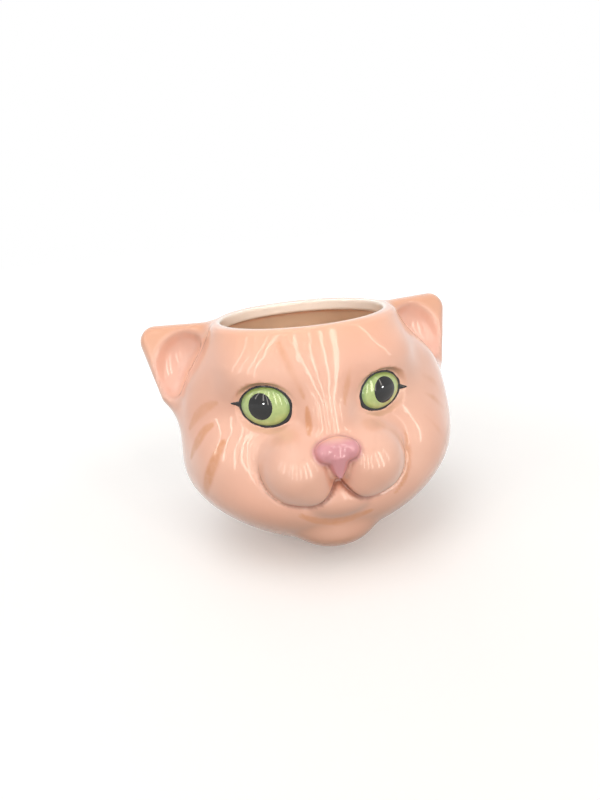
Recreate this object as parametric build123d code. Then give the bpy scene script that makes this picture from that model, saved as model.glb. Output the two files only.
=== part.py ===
from build123d import *
from math import atan2, cos, degrees, pi, sin
import os

# Glazed earthenware planter in the shape of a cat's head, in millimetres.
# +Z is up, the face looks towards -Y and the cat's own left side is +X.
# Heights are measured from the table. Depths are measured from the head's axis,
# and the finished pieces are then moved so that the origin lies on the table
# under the middle of the whole planter.

# Head: a hollow casting with an open mouth at the top
head_height = 110.5
head_half_width = 66.0
face_depth = 55.0
back_depth = 57.6
wall = 5.5
outline_points = 24

# One row for each level of the head: its height, half width, depth in front,
# depth behind, and how far the front's shoulders draw in from an ellipse
level_shares = (
    (0.000, 0.409, 0.309, 0.486, -0.030),
    (0.045, 0.482, 0.500, 0.573, -0.030),
    (0.127, 0.606, 0.767, 0.625, -0.030),
    (0.235, 0.823, 0.960, 0.762, -0.030),
    (0.362, 0.980, 0.985, 0.882, -0.030),
    (0.471, 1.000, 0.891, 0.963, -0.035),
    (0.579, 0.997, 0.776, 0.998, -0.005),
    (0.688, 0.962, 0.740, 0.990, 0.040),
    (0.796, 0.879, 0.731, 0.938, 0.025),
    (0.896, 0.762, 0.702, 0.868, -0.005),
    (1.000, 0.671, 0.647, 0.816, 0.000),
)
back_shoulder_share = -0.035

# Mouth of the planter: a short upright collar over the wider inside. The rim round it
# is wider behind than at the sides and in front
rim_width = 4.5
rim_back_width = 6.8
collar_height = 6.0
rim_outer_radius = 2.2
rim_inner_radius = 1.0

# Foot: an unglazed ring round a shallow recess, with the drain hole in its middle
floor_thickness = 6.0
foot_recess_depth = 2.5
foot_ring_width = 6.0
drain_hole_radius = 5.0

# What sits on the head follows it: the places below are shares of its half width, of a
# depth and of its height, and the slopes are shares of its face depth over its half
# width or its height

# Bridge of the nose, modelled on the head
bridge_half_width = 13.0
bridge_half_depth = 13.5
bridge_half_length = 30.0
bridge_place_shares = (0.0000, -0.6364, 0.6787)
bridge_slope_share = 1.0237
bridge_blend_radius = 7.0

# Pieces that are luted on stay this far off the head, filled by slip
luting_gap = 0.05

# Ears: slabs with rounded edges and a hollow in front, given for the left ear. The
# corners of the slab run from its top root over the tip and the heel to its low root
ear_thickness = 11.0
ear_corner_radius = 8.0
ear_edge_radius = 4.6
ear_corner_shares = (
    (0.5909, 0.1927, 0.9249),
    (1.1000, 0.4063, 0.9176),
    (0.9909, 0.1424, 0.7059),
    (0.8182, 0.0451, 0.5882),
)
ear_rim_width = 6.5
ear_hollow_depth = 6.0
ear_hollow_taper = 35.0
ear_hollow_radius = 4.0

# Muzzle pads, one each side of the middle, apart by a share of their half width, and
# placed by shares of the head's face depth and height
pad_half_width = 18.5
pad_half_depth = 21.5
pad_half_height = 16.5
pad_apart_share = 0.8
pad_place_shares = (-0.7455, 0.4661)

# Lower lip, under the two pads and between them
lip_half_width = 20.5
lip_half_depth = 15.0
lip_half_height = 10.0
lip_place_shares = (0.0000, -0.8545, 0.3665)

# Chin
chin_half_width = 19.3
chin_half_depth = 14.3
chin_half_height = 11.5
chin_place_shares = (0.0000, -0.6909, 0.1738)

# Nose: a rounded triangle on the end of the bridge, leaning back at its top. Its lowest
# point is level with the muzzle pads' front, and its outline is in shares of its half
# width and length
nose_half_width = 9.8
nose_length = 15.0
nose_thickness = 12.0
nose_height_share = 0.4824
nose_slope_share = 1.0682
nose_corner_radius = 2.4
nose_edge_radius = 2.2
nose_outline_shares = ((0.58, 1.00), (1.00, 0.70), (0.34, 0.22), (0.00, 0.00))

# Eyes: glassy domes let into shallow sockets, given for the left eye. The wall keeps
# a thickness of its own behind the sockets, where the hollow goes round them
eye_half_width = 11.6
eye_half_height = 9.2
eye_place_shares = (0.3939, -0.6436, 0.7068)
eye_turn_share = 0.5343
eye_droop = -3.0
eye_slant = 3.0
eye_bulge = 3.2
eye_seat_depth = 2.4
eye_wall = 3.5
eye_gap = 0.05

# Dark line round each eye, with a flick at the outer corner
liner_width = 0.9
liner_proud = 0.35
flick_length = 4.2
flick_half_height = 1.1
flick_rise = 0.6

# Pupils: thick black enamel let into the domes. How far they sit outward and upward
# are shares of the eye's half width and half height
pupil_half_width = 5.6
pupil_half_height = 6.1
pupil_place_shares = (0.138, 0.043)
pupil_seat_depth = 1.2
pupil_proud = 0.3

# Drain stopper: a soft bung pressed down into the drain hole from inside
stopper_clearance = 0.06
stopper_flange_radius = 9.0
stopper_flange_thickness = 2.4
stopper_neck_radius = 1.9
stopper_neck_height = 3.2
stopper_knob_radius = 3.6
stopper_stem_short = 0.8
stopper_end_chamfer = 0.8

# Cuts run past the faces that they open by this much
overrun = 12.0

# Worked out from the sizes above
floor_z = foot_recess_depth + floor_thickness
ceiling_z = head_height - collar_height
mouth_front = level_shares[-1][2] * face_depth - rim_width
mouth_back = level_shares[-1][3] * back_depth - rim_back_width
mouth_half_width = level_shares[-1][1] * head_half_width - rim_width
mouth_half_depth = (mouth_front + mouth_back) / 2
mouth_y = (mouth_back - mouth_front) / 2
foot_front = level_shares[0][2] * face_depth
foot_back = level_shares[0][3] * back_depth
foot_y = (foot_back - foot_front) / 2
pad_x = pad_apart_share * pad_half_width
pad_y = pad_place_shares[0] * face_depth
pad_z = pad_place_shares[1] * head_height
muzzle_reach = pad_half_depth - pad_y
origin_y = (muzzle_reach - back_depth) / 2
bridge_lean = degrees(atan2(bridge_slope_share * face_depth, head_height))
nose_lean = degrees(atan2(nose_slope_share * face_depth, head_height))
eye_turn = degrees(atan2(eye_turn_share * face_depth, head_half_width))


def head_levels():
    """The levels of the head's outside in real sizes."""
    levels = []
    for height_share, width_share, front_share, back_share, shoulder_share in level_shares:
        height = height_share * head_height
        half_width = width_share * head_half_width
        front = front_share * face_depth
        back = back_share * back_depth
        levels.append((height, half_width, front, back, shoulder_share))
    return levels


def level_face(level, inset=0.0):
    """Face that fills the outline at one level, drawn in all round by the inset."""
    height, half_width, front, back, shoulder_share = level
    points = []
    for step in range(outline_points):
        turn = pi / 2 + 2 * pi * step / outline_points
        behind = sin(turn) > 0
        depth = back if behind else front
        reach = 1 - (back_shoulder_share if behind else shoulder_share) * sin(2 * turn) ** 2
        across = (half_width - inset) * cos(turn) * reach
        along = (depth - inset) * sin(turn) * reach
        points.append((across, along, height))
    return make_face(Spline(*points, periodic=True))


def in_head(shares, depth=face_depth):
    """Real lengths of shares of the head's half width, of a depth and of its height."""
    width_share, depth_share, height_share = shares
    return width_share * head_half_width, depth_share * depth, height_share * head_height


def ellipsoid(half_x, half_y, half_z, grown=0.0):
    """Ellipsoid about the origin."""
    return scale(Sphere(1), by=(half_x + grown, half_y + grown, half_z + grown))


def head_form(grown=0.0):
    """The head's outside with the bridge of its nose, as a plain solid, grown by a gap."""
    head = loft([level_face(level, -grown) for level in head_levels()])
    bridge = ellipsoid(bridge_half_width, bridge_half_depth, bridge_half_length, grown)
    bridge = Pos(*in_head(bridge_place_shares)) * Rot(-bridge_lean, 0, 0) * bridge
    joined = head + bridge
    return fillet(new_edges(head, bridge, combined=joined), bridge_blend_radius)


def cavity_form():
    """The hollow: every level moved in by the wall, and clear of the eye sockets."""
    levels = head_levels()
    faces = []
    for index, level in enumerate(levels):
        below = levels[max(index - 1, 0)]
        above = levels[min(index + 1, len(levels) - 1)]
        lean = atan2(above[1] - below[1], above[0] - below[0])
        inner_level = (level[0] + wall * sin(lean), *level[1:])
        faces.append(level_face(inner_level, wall * cos(lean)))
    depth = ceiling_z - floor_z
    room = Box(2 * head_half_width, 2 * back_depth + 2 * face_depth, depth)
    cavity = loft(faces) & Pos(0, 0, floor_z + depth / 2) * room
    for backing in both_sides(eye_backing()):
        cavity -= backing
    return cavity


def pad_form(grown=0.0):
    """Left muzzle pad before it is trimmed."""
    pad = ellipsoid(pad_half_width, pad_half_depth, pad_half_height, grown)
    return Pos(pad_x, pad_y, pad_z) * pad


def both_sides(left_piece):
    """A left piece and its mirror image on the right."""
    return left_piece, mirror(left_piece, about=Plane.YZ)


def eye_place():
    """Where the left eye sits: outward is +Z here, and +X runs to its outer corner."""
    turned = Rot(0, 0, eye_turn) * Rot(eye_droop, 0, 0) * Rot(0, -eye_slant, 0)
    return Pos(*in_head(eye_place_shares)) * turned * Rot(90, 0, 0)


def eye_outline(grown):
    """The eye's ellipse, grown all round."""
    return Ellipse(eye_half_width + grown, eye_half_height + grown)


def liner_outline(grown=0.0):
    """Outside of the dark line, with the flick at the outer corner."""
    reach = eye_half_width + eye_gap + liner_width
    root = (eye_half_width, flick_half_height + grown)
    heel = (eye_half_width, -flick_half_height - grown)
    tip = (reach + flick_length + grown, flick_rise + grown)
    low_tip = (reach + flick_length + grown, flick_rise - grown - eye_gap)
    flick = make_face(Polyline(root, tip, low_tip, heel, close=True))
    return eye_outline(eye_gap + liner_width + grown) + flick


def eye_socket():
    """Pocket in the head for the left eye and its dark line."""
    pocket = extrude(liner_outline(eye_gap), amount=eye_seat_depth + overrun)
    return eye_place() * Pos(0, 0, -eye_seat_depth) * pocket


def eye_backing():
    """Solid wall behind the left eye's socket."""
    block = extrude(eye_outline(liner_width + eye_wall), amount=eye_wall + overrun)
    return eye_place() * Pos(0, 0, -eye_seat_depth - eye_wall) * block


def head_shell():
    """The casting: wall, floor, collar, foot ring, bridge and eye sockets."""
    shell = head_form() - cavity_form()
    mouth = extrude(Ellipse(mouth_half_width, mouth_half_depth), amount=collar_height + overrun)
    shell -= Pos(0, mouth_y, ceiling_z) * mouth
    shell -= extrude(level_face(head_levels()[0], foot_ring_width), amount=foot_recess_depth)
    shell -= Pos(0, foot_y, floor_z / 2) * Cylinder(drain_hole_radius, floor_z + overrun)
    for socket in both_sides(eye_socket()):
        shell -= socket
    outer_edge = shell.edges().group_by(Axis.Z)[-1].sort_by(SortBy.LENGTH)[-1]
    shell = fillet(outer_edge, rim_outer_radius)
    inner_edge = shell.edges().group_by(Axis.Z)[-1].sort_by(SortBy.LENGTH)[0]
    return fillet(inner_edge, rim_inner_radius)


def left_ear(head):
    """Ear slab with rounded edges and a hollow in front, cut to sit on the head."""
    corners = [Vector(*in_head(shares, back_depth)) for shares in ear_corner_shares]
    root_top, tip, heel = corners[:3]
    slab_plane = Plane(origin=root_top, x_dir=tip - root_top, z_dir=(heel - root_top).cross(tip - root_top))
    flat_corners = []
    for corner in corners:
        local = slab_plane.to_local_coords(corner)
        flat_corners.append((local.X, local.Y))
    middle = make_face(Polyline(*flat_corners, close=True))
    outline = offset(middle, amount=ear_corner_radius, kind=Kind.ARC)
    slab = extrude(outline, amount=ear_thickness / 2, both=True)
    flat_faces = slab.faces().filter_by(Axis.Z)
    slab = fillet([edge for face in flat_faces for edge in face.edges()], ear_edge_radius)
    opening = offset(middle, amount=ear_corner_radius - ear_rim_width, kind=Kind.INTERSECTION)
    opening = fillet(opening.vertices(), ear_hollow_radius)
    hollow = extrude(opening, amount=-ear_hollow_depth, taper=ear_hollow_taper)
    slab -= Pos(0, 0, ear_thickness / 2) * hollow
    ear = slab_plane.location * slab - head
    return ear.solids().sort_by(SortBy.VOLUME)[-1]


def muzzle_pads(head):
    """The two soft pads of the muzzle, which meet on the middle line."""
    room = Box(head_half_width, 2 * muzzle_reach, 2 * head_height)
    left_half = Pos(head_half_width / 2, 0, 0) * room
    return both_sides((pad_form() & left_half) - head)


def lip_form(grown=0.0):
    """Lower lip before it is trimmed."""
    lip = ellipsoid(lip_half_width, lip_half_depth, lip_half_height, grown)
    return Pos(*in_head(lip_place_shares)) * lip


def lower_lip(head):
    """Lower lip, which fills the corner under the pads."""
    lip = lip_form()
    for pad in both_sides(pad_form(luting_gap)):
        lip -= pad
    lip -= head
    return lip.solids().sort_by(SortBy.VOLUME)[-1]


def chin_piece(head):
    """Rounded chin under the lower lip."""
    chin = ellipsoid(chin_half_width, chin_half_depth, chin_half_height)
    chin = Pos(*in_head(chin_place_shares)) * chin
    return chin - lip_form(luting_gap) - head


def nose_piece(head):
    """Nose: a rounded triangle that stands on its point."""
    right_side = [(x * nose_half_width, y * nose_length) for x, y in nose_outline_shares]
    left_side = [(-x, y) for x, y in reversed(right_side[:-1])]
    outline = make_face(Polyline(*right_side, *left_side, close=True))
    outline = fillet(outline.vertices(), nose_corner_radius)
    block = extrude(outline, amount=-nose_thickness)
    block = fillet(block.faces().sort_by(Axis.Z)[-1].edges(), nose_edge_radius)
    place = Pos(0, -muzzle_reach, nose_height_share * head_height)
    nose = place * Rot(90 - nose_lean, 0, 0) * block
    for pad in both_sides(pad_form(luting_gap)):
        nose -= pad
    return nose - lip_form(luting_gap) - head


def eye_dome(grown=0.0):
    """Front of the eye, a shallow dome over its outline."""
    dome = ellipsoid(eye_half_width, eye_half_height, eye_bulge, grown)
    return split(dome, bisect_by=Plane.XY, keep=Keep.TOP)


def pupil_column(grown=0.0):
    """Straight column over the pupil's outline, from its seat outwards."""
    outward = pupil_place_shares[0] * eye_half_width
    upward = pupil_place_shares[1] * eye_half_height
    column = extrude(Ellipse(pupil_half_width + grown, pupil_half_height + grown), amount=overrun)
    return Pos(outward, upward, eye_bulge - pupil_seat_depth) * column


def left_eye():
    """Glassy eye with a flat back and a seat for the pupil."""
    seat = extrude(eye_outline(0), amount=-eye_seat_depth)
    return eye_place() * (eye_dome() + seat - pupil_column(eye_gap))


def left_pupil():
    """Black enamel pupil, a little proud of the eye."""
    return eye_place() * (pupil_column() & eye_dome(pupil_proud))


def left_eye_liner():
    """Dark line between the eye and its socket, with the flick at its outer corner."""
    depth = eye_seat_depth + overrun
    band = extrude(liner_outline(), amount=depth) - extrude(eye_outline(eye_gap), amount=depth)
    return (eye_place() * Pos(0, 0, -eye_seat_depth) * band) & head_form(liner_proud)


def drain_stopper():
    """Soft bung: stem in the drain hole, flange on the floor, neck and knob to pull."""
    standing = (Align.CENTER, Align.CENTER, Align.MIN)
    stem_length = floor_thickness - stopper_stem_short
    stem = Cylinder(drain_hole_radius - stopper_clearance, stem_length, align=standing)
    stem = chamfer(stem.edges().group_by(Axis.Z)[0], stopper_end_chamfer)
    flange = Cylinder(stopper_flange_radius, stopper_flange_thickness, align=standing)
    flange = fillet(flange.edges().group_by(Axis.Z)[-1], stopper_flange_thickness / 3)
    neck_length = stopper_neck_height + stopper_knob_radius
    neck = Cylinder(stopper_neck_radius, neck_length, align=standing)
    knob = Pos(0, 0, neck_length) * Sphere(stopper_knob_radius)
    bung = Pos(0, 0, -stem_length) * stem + flange + Pos(0, 0, stopper_flange_thickness) * (neck + knob)
    return Pos(0, foot_y, floor_z) * bung


def all_pieces():
    """Every separate piece by its name."""
    head = head_form(luting_gap)
    pieces = {"head_shell": head_shell()}
    pieces["left_ear"], pieces["right_ear"] = both_sides(left_ear(head))
    pieces["left_muzzle_pad"], pieces["right_muzzle_pad"] = muzzle_pads(head)
    pieces["lower_lip"] = lower_lip(head)
    pieces["chin"] = chin_piece(head)
    pieces["nose"] = nose_piece(head)
    pieces["left_eye"], pieces["right_eye"] = both_sides(left_eye())
    pieces["left_pupil"], pieces["right_pupil"] = both_sides(left_pupil())
    pieces["left_eye_liner"], pieces["right_eye_liner"] = both_sides(left_eye_liner())
    pieces["drain_stopper"] = drain_stopper()
    return pieces


os.makedirs("parts", exist_ok=True)
for name, piece in all_pieces().items():
    export_step(Pos(0, origin_y, 0) * piece, f"parts/{name}.step")
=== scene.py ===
import math

import bpy
import numpy as np
from mathutils import Matrix, Vector


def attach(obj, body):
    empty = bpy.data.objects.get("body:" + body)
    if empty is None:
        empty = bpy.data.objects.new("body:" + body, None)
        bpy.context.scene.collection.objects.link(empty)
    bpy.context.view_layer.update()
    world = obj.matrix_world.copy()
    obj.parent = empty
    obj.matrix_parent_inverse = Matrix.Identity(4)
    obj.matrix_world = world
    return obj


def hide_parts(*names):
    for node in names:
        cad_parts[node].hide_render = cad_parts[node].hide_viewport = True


# A glazed earthenware planter in the shape of a cat's head. Its whole outside and inside is
# one surface, worked out as a distance field in millimetres, meshed, and then split into the
# clay pieces. Places are from the head's axis: x to the cat's left, y to its back, z up.

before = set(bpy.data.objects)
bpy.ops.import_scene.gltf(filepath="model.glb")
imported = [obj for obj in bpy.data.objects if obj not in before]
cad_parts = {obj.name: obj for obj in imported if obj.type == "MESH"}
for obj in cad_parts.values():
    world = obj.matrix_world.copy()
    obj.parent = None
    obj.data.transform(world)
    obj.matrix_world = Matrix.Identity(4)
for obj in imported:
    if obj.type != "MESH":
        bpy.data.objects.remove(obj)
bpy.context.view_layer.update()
print("frame loaded")

backShift = 2.45
millimetre = 0.001


# Small helpers

def linear(code):
    channels = [int(code[i:i + 2], 16) / 255 for i in (0, 2, 4)]
    return [c / 12.92 if c <= 0.04045 else ((c + 0.055) / 1.055) ** 2.4 for c in channels] + [1.0]


def addNode(tree, kind, inputs=None, **settings):
    node = tree.nodes.new(kind)
    for name, value in settings.items():
        setattr(node, name, value)
    for key, value in (inputs or {}).items():
        if isinstance(value, bpy.types.NodeSocket):
            tree.links.new(value, node.inputs[key])
        else:
            node.inputs[key].default_value = value
    return node


def smooth(low, high, value):
    t = np.clip((value - low) / (high - low), 0, 1)
    return t * t * (3 - 2 * t)


# soft union, difference and overlap of two distance fields

def unite(a, b, softness):
    h = np.clip(0.5 + 0.5 * (b - a) / softness, 0, 1)
    return b * (1 - h) + a * h - softness * h * (1 - h)


def cut(a, b, softness):
    return -unite(-a, b, softness)


def overlap(a, b, softness):
    return -unite(-a, -b, softness)


# The head: rows of height, half width, depth in front, depth behind and front shoulder

head = {
    "height": 110.5,
    "wall": 5.5,
    "levels": (
        (0.0, 27.0, 17.0, 28.0, -0.030),
        (5.0, 31.8, 27.5, 33.0, -0.030),
        (14.0, 42.2, 42.2, 36.0, -0.030),
        (26.0, 57.0, 52.8, 43.9, -0.030),
        (40.0, 66.2, 54.2, 50.8, -0.030),
        (52.0, 66.6, 49.0, 55.5, -0.035),
        (64.0, 65.8, 42.7, 57.5, -0.005),
        (76.0, 63.5, 40.7, 57.0, 0.040),
        (88.0, 58.0, 40.2, 54.0, 0.025),
        (99.0, 50.3, 38.6, 50.0, -0.005),
        (110.5, 44.3, 35.6, 47.0, 0.000),
    ),
    "backShoulder": -0.035,
    # share by which the cat's left is fuller, and where that sets in and fades
    "leftFuller": 0.055,
    "fullerAcross": (0.0, 20.0),
    "fullerFrom": (25.0, 58.0),
    "fullerUntil": (82.0, 105.0),
    "rimRound": 2.4,
    "footRound": 1.0,
    "mouth": (39.8, 35.6),
    "mouthY": 4.5,
    "mouthEdge": 1.2,
    "tableSize": 600,
    "ceiling": 104.5,
    "ceilingRound": 1.2,
    "mouthLap": 4.0,
    "ledge": 1.5,
    "floor": 8.5,
    "floorRound": 4.0,
    "footRecess": 2.5,
    "footRing": 6.0,
    "footY": 5.5,
    "drain": 5.0,
    "drainLap": 3.0,
    "underEdge": 0.8,
}


def curveTable(heights, values, samples):
    # natural cubic curve through the rows
    count = len(heights)
    step = np.diff(heights)
    system = np.eye(count)
    right = np.zeros(count)
    for i in range(1, count - 1):
        system[i, i - 1:i + 2] = (step[i - 1], 2 * (step[i - 1] + step[i]), step[i])
        right[i] = 6 * ((values[i + 1] - values[i]) / step[i] - (values[i] - values[i - 1]) / step[i - 1])
    bend = np.linalg.solve(system, right)
    i = np.clip(np.searchsorted(heights, samples) - 1, 0, count - 2)
    a, b, h = heights[i + 1] - samples, samples - heights[i], step[i]
    return (bend[i] * a ** 3 + bend[i + 1] * b ** 3) / (6 * h) + (
        (values[i] / h - bend[i] * h / 6) * a + (values[i + 1] / h - bend[i + 1] * h / 6) * b)


rows = np.array(head["levels"])
tableZ = np.linspace(0, head["height"], head["tableSize"])
widthTable, frontTable, backTable, shoulderTable = (curveTable(rows[:, 0], rows[:, i], tableZ) for i in (1, 2, 3, 4))
widthSlope, frontSlope, backSlope = (np.gradient(t, tableZ) for t in (widthTable, frontTable, backTable))


def bodyField(x, y, z):
    z = np.clip(z, 0, head["height"])
    ahead = y < 0
    # the cast is a little fuller on the cat's left
    fuller = head["leftFuller"] * smooth(*head["fullerAcross"], x) * smooth(*head["fullerFrom"], z) * (
        1 - smooth(*head["fullerUntil"], z))
    width = np.interp(z, tableZ, widthTable) * (1 + fuller)
    depth = np.where(ahead, np.interp(z, tableZ, frontTable), np.interp(z, tableZ, backTable))
    u, v = x / width, y / depth
    rho = np.hypot(u, v) + 1e-6
    shoulder = np.where(ahead, np.interp(z, tableZ, shoulderTable), head["backShoulder"])
    reach = 1 - shoulder * (2 * u * v / rho ** 2) ** 2
    slope = (u / rho) ** 2 * np.interp(z, tableZ, widthSlope) + (v / rho) ** 2 * np.where(
        ahead, np.interp(z, tableZ, frontSlope), np.interp(z, tableZ, backSlope))
    return np.hypot(x, y) * (1 - reach / rho) / np.sqrt(1 + slope ** 2)


def ellipsoidField(x, y, z, place, half, lean=0.0):
    # lean turns its top back, in degrees
    x, y, z = x - place[0], y - place[1], z - place[2]
    if lean:
        c, s = math.cos(math.radians(lean)), math.sin(math.radians(lean))
        y, z = y * c - z * s, y * s + z * c
    near = np.sqrt((x / half[0]) ** 2 + (y / half[1]) ** 2 + (z / half[2]) ** 2) + 1e-9
    steep = np.sqrt((x / half[0] ** 2) ** 2 + (y / half[1] ** 2) ** 2 + (z / half[2] ** 2) ** 2) + 1e-9
    return near * (near - 1) / steep


def stickField(x, y, z, start, end, thickStart, thickEnd):
    # round bar that tapers between two points
    start, end = np.array(start, float), np.array(end, float)
    along = end - start
    px, py, pz = x - start[0], y - start[1], z - start[2]
    t = np.clip((px * along[0] + py * along[1] + pz * along[2]) / (along @ along), 0, 1)
    off = np.sqrt((px - t * along[0]) ** 2 + (py - t * along[1]) ** 2 + (pz - t * along[2]) ** 2)
    return off - (thickStart + (thickEnd - thickStart) * t)


# Modelled features of the face, for the left side where there are two

face = {
    # the bridge melts into the forehead between two heights
    "bridge": {"place": (0, -35.0, 75.0), "half": (13.0, 13.5, 30.0), "lean": 27.0, "softness": (6.0, 15.0),
               "softAbove": (74.0, 94.0)},
    "brow": {"place": (24.0, -25.4, 91.0), "half": (14.0, 8.5, 7.5), "softness": 15.0},
    "cheek": {"place": (38.0, -22.5, 53.0), "half": (16.0, 14.0, 13.0), "softness": 12.0},
    "pad": {"place": (15.8, -41.0, 50.6), "half": (17.4, 21.5, 16.8)},
    "jowl": {"place": (10.6, -44.0, 43.6), "half": (8.6, 15.5, 8.4), "softness": 5.0},
    "padSoftTop": 7.0,
    "padSoftLow": 0.8,
    "padSoftRise": (42.0, 66.0),
    "padsTogether": 1.6,
    "philtrum": {"place": (0, -45.8, 54.0), "half": (7.5, 13.3, 8.4), "softness": 2.0},
    "lip": {"place": (0, -44.4, 36.6), "half": (20.0, 13.5, 10.8), "softness": 1.2},
    "chin": {"place": (0, -38.0, 19.2), "half": (19.3, 14.3, 11.5), "softness": 4.0},
    "creaseHalf": 1.2,
    "creaseDeep": 0.8,
    "creaseTop": (48.0, 60.0),
}

nose = {
    "top": {"place": (0, -55.6, 62.6), "half": (7.6, 4.8, 4.6)},
    "wing": {"place": (5.6, -56.4, 61.0), "half": (4.1, 4.4, 4.3)},
    "column": {"start": (0, -56.6, 57.8), "end": (0, -58.8, 50.6), "thick": (5.2, 1.2)},
    "softness": 2.0,
    "joinSoftness": 1.6,
}

eye = {
    "place": (26.0, -35.4, 78.1),
    "half": {"left": (10.9, 8.1), "right": (11.2, 8.8)},
    "bulge": 3.0,
    "roundness": 0.72,
    "skirt": 1.8,
    "mesh": (26, 96),
    "greenEdge": (0.80, 1.0),
    "turn": 24.0,
    "droop": -3.0,
    "slant": 3.0,
    # the clay is flat under the eye and eases back to the head round it
    "skinUnder": 0.7,
    "seatEdge": (-0.6, 0.4),
    "ease": (0.8, 3.4),
    "easeDeep": (9.0, 18.0),
    # thicker wall behind the eye
    "backing": 5.9,
    "backingGrown": 4.4,
    "backingRound": 3.0,
}


def turning(axis, degrees):
    return Matrix.Rotation(math.radians(degrees), 3, axis)


eyeTurn = np.array(turning("Z", eye["turn"]) @ turning("X", eye["droop"]) @ turning("Y", -eye["slant"])
                   @ turning("X", 90))


def eyeLocal(x, y, z):
    # u to the outer corner, v up, w out of the head
    rel = [np.abs(x) - eye["place"][0], y - eye["place"][1], z - eye["place"][2]]
    return [sum(r * eyeTurn[i, k] for i, r in enumerate(rel)) for k in range(3)]


def eyeBeyond(x, u, v):
    # how far a point lies outside the eye's outline, roughly; the cat's left eye is the smaller
    a, b = (np.where(x > 0, left, right) for left, right in zip(eye["half"]["left"], eye["half"]["right"]))
    return (np.hypot(u / a, v / b) - 1) * np.sqrt(a * b)


# Ears: four corners of a thick rounded sheet, and a hollow scooped out of its front

ear = {
    "corners": ((39.0, 11.1, 102.2), (72.6, 23.4, 101.4), (65.4, 8.2, 78.0), (54.0, 2.6, 65.0)),
    "thick": 5.4,
    "cornerMore": 2.6,
    "hollowPlace": (58.6, 11.3, 88.6),
    "hollowHalf": (14.4, 16.2, 8.6),
    "hollowOut": 5.0,
    "hollowSoft": 4.0,
    "joinSoftness": 6.0,
}
earCorners = np.array(ear["corners"])
earNormal = np.cross(earCorners[2] - earCorners[0], earCorners[1] - earCorners[0])
earNormal /= np.linalg.norm(earNormal)
earAcross = (earCorners[1] - earCorners[0]) / np.linalg.norm(earCorners[1] - earCorners[0])
earUp = np.cross(earNormal, earAcross)
flatCorners = np.array([((c - earCorners[0]) @ earAcross, (c - earCorners[0]) @ earUp) for c in earCorners])


def earField(x, y, z):
    x = np.abs(x)
    rel = (x - earCorners[0][0], y - earCorners[0][1], z - earCorners[0][2])
    s, t, w = (sum(r * a[i] for i, r in enumerate(rel)) for a in (earAcross, earUp, earNormal))
    off = np.full(np.shape(s), 1e9)
    inside = np.ones(np.shape(s), bool)
    for a, b in zip(flatCorners, np.roll(flatCorners, -1, 0)):
        side = b - a
        along = np.clip(((s - a[0]) * side[0] + (t - a[1]) * side[1]) / (side @ side), 0, 1)
        off = np.minimum(off, np.hypot(s - a[0] - along * side[0], t - a[1] - along * side[1]))
        inside &= (s - a[0]) * side[1] - (t - a[1]) * side[0] >= 0
    off = np.where(inside, 0, np.maximum(off - ear["cornerMore"], 0))
    return np.hypot(off, w) - ear["thick"]


def earHollow(x, y, z):
    x = np.abs(x)
    centre = np.array(ear["hollowPlace"]) + ear["hollowOut"] * earNormal
    rel = (x - centre[0], y - centre[1], z - centre[2])
    s, t, w = (sum(r * a[i] for i, r in enumerate(rel)) for a in (earAcross, earUp, earNormal))
    return ellipsoidField(s, t, w, (0, 0, 0), ear["hollowHalf"])


def formAt(x, y, z, form):
    return ellipsoidField(x, y, z, form["place"], form["half"], form.get("lean", 0.0))


def noseField(x, y, z):
    d = formAt(x, y, z, nose["top"])
    d = unite(d, formAt(np.abs(x), y, z, nose["wing"]), nose["softness"])
    column = nose["column"]
    return unite(d, stickField(x, y, z, column["start"], column["end"], *column["thick"]), nose["softness"])


def mouthField(x, y):
    a, b = head["mouth"]
    return (np.hypot(x / a, (y - head["mouthY"]) / b) - 1) * 0.5 * (a + b)


def hollowField(x, y, z):
    inner = bodyField(x, y, z) + head["wall"]
    inner = overlap(inner, z - head["ceiling"], head["ceilingRound"])
    inner = overlap(inner, head["floor"] - z, head["floorRound"])
    u, v, w = eyeLocal(x, y, z)
    backing = np.maximum(eyeBeyond(x, u, v) - eye["backingGrown"], -w - eye["backing"])
    inner = cut(inner, backing, eye["backingRound"])
    # the mouth reaches a little below the ceiling, so that the two open into each other
    return unite(inner, np.maximum(mouthField(x, y), head["ceiling"] - head["mouthLap"] - z), head["ledge"])


def parts(x, y, z):
    # distance to each clay piece's own form
    m = np.abs(x)
    body = bodyField(x, y, z)
    body = unite(body, formAt(m, y, z, face["brow"]), face["brow"]["softness"])
    body = unite(body, formAt(m, y, z, face["cheek"]), face["cheek"]["softness"])
    low, high = face["bridge"]["softness"]
    body = unite(body, formAt(x, y, z, face["bridge"]), low + (high - low) * smooth(*face["bridge"]["softAbove"], z))
    pads = [unite(formAt(side, y, z, face["pad"]), formAt(side, y, z, face["jowl"]), face["jowl"]["softness"])
            for side in (x, -x)]
    pads = unite(*pads, face["padsTogether"])
    pads = unite(pads, formAt(x, y, z, face["philtrum"]), face["philtrum"]["softness"])
    ears = cut(earField(x, y, z), earHollow(x, y, z), ear["hollowSoft"])
    return {"head": body, "pad": pads, "lip": formAt(x, y, z, face["lip"]), "chin": formAt(x, y, z, face["chin"]),
            "nose": noseField(x, y, z), "ear": ears}


def mouthCrease(f, z):
    # 1 along the line where the pads meet the lip and the cheeks
    across = (f["pad"] - np.minimum(f["lip"], f["head"])) / face["creaseHalf"]
    return np.exp(-across ** 2) * (1 - smooth(*face["creaseTop"], z))


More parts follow.
